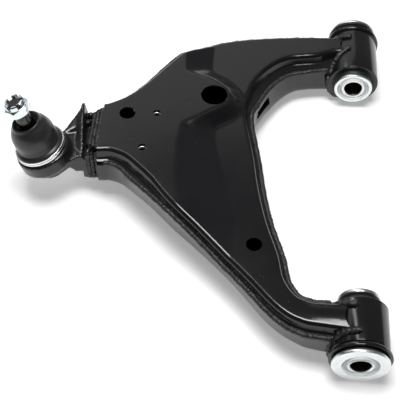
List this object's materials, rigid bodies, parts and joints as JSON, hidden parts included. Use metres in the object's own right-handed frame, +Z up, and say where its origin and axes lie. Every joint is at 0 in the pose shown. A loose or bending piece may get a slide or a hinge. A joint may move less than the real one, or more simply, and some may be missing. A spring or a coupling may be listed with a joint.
{
  "type": "suspension control arm",
  "caption": "Lower control arm: welded steel pressings joining two rubber pivot bushes to a ball joint with a tapered stud and castle nut.",
  "frame": {"origin": "middle of the front pivot bush bore", "axes": "+Y along the pivot axis from the front bush to the rear bush, +X from the ball joint towards the bushes, +Z up, square to the flat pad"},
  "size_m": [0.3768, 0.4255, 0.1263],
  "materials": {
    "black_ecoat": "glossy black electrophoretic paint with light orange peel",
    "coated_weld": "black paint over rippled weld bead",
    "zinc_plate": "bright zinc plate, faintly mottled",
    "bare_steel": "oiled bare steel",
    "rubber": "moulded black rubber",
    "acetal": "natural acetal"
  },
  "bodies": {
    "arm": {"upper_shell": "black_ecoat", "lower_shell": "black_ecoat", "seam_weld_front": "coated_weld", "seam_weld_inner": "coated_weld", "seam_weld_back": "coated_weld", "ball_joint_bracket": "black_ecoat", "bracket_weld": "coated_weld", "front_bush_tube": "black_ecoat", "rear_bush_tube": "black_ecoat", "front_tube_weld": "coated_weld", "rear_tube_weld": "coated_weld", "front_outer_sleeve": "black_ecoat", "rear_outer_sleeve": "black_ecoat", "front_rubber": "rubber", "rear_rubber": "rubber", "joint_housing": "black_ecoat", "bearing_seat": "acetal", "seat_spring": "bare_steel", "closing_cap": "bare_steel", "snap_ring": "bare_steel", "boot_large_ring": "zinc_plate", "weld_nuts": "bare_steel"},
    "front_pivot": {"front_inner_sleeve": "zinc_plate", "front_washer": "zinc_plate"},
    "rear_pivot": {"rear_inner_sleeve": "zinc_plate", "rear_washer": "zinc_plate"},
    "boot_swivel": {"boot": "rubber"},
    "stud_lean": {"boot_small_ring": "bare_steel"},
    "stud": {"ball_stud": "bare_steel"},
    "nut": {"castle_nut": "zinc_plate"}
  },
  "joints": [
    {"name": "front_pivot_twist", "type": "hinge", "parent": "arm", "child": "front_pivot", "pos_m": [0, 0, 0], "axis": [0, 1, 0], "range_deg": [-25, 25], "stiffness_Nm_per_rad": 50},
    {"name": "rear_pivot_twist", "type": "hinge", "parent": "arm", "child": "rear_pivot", "pos_m": [0, 0.349, 0], "axis": [0, 1, 0], "range_deg": [-25, 25], "stiffness_Nm_per_rad": 60},
    {"name": "boot_turn", "type": "hinge", "parent": "arm", "child": "boot_swivel", "pos_m": [-0.316, 0.174, 0.023], "axis": [-0.284, 0, 0.9588], "continuous": true},
    {"name": "stud_tilt", "type": "hinge", "parent": "boot_swivel", "child": "stud_lean", "pos_m": [-0.316, 0.174, 0.023], "axis": [0, 1, 0], "range_deg": [-20, 20], "deforming": ["boot"]},
    {"name": "stud_turn", "type": "hinge", "parent": "stud_lean", "child": "stud", "pos_m": [-0.316, 0.174, 0.023], "axis": [-0.284, 0, 0.9588], "continuous": true},
    {"name": "nut_unscrew", "type": "slide", "parent": "stud", "child": "nut", "axis": [-0.284, 0, 0.9588], "range_m": [0, 0.012]}
  ]
}
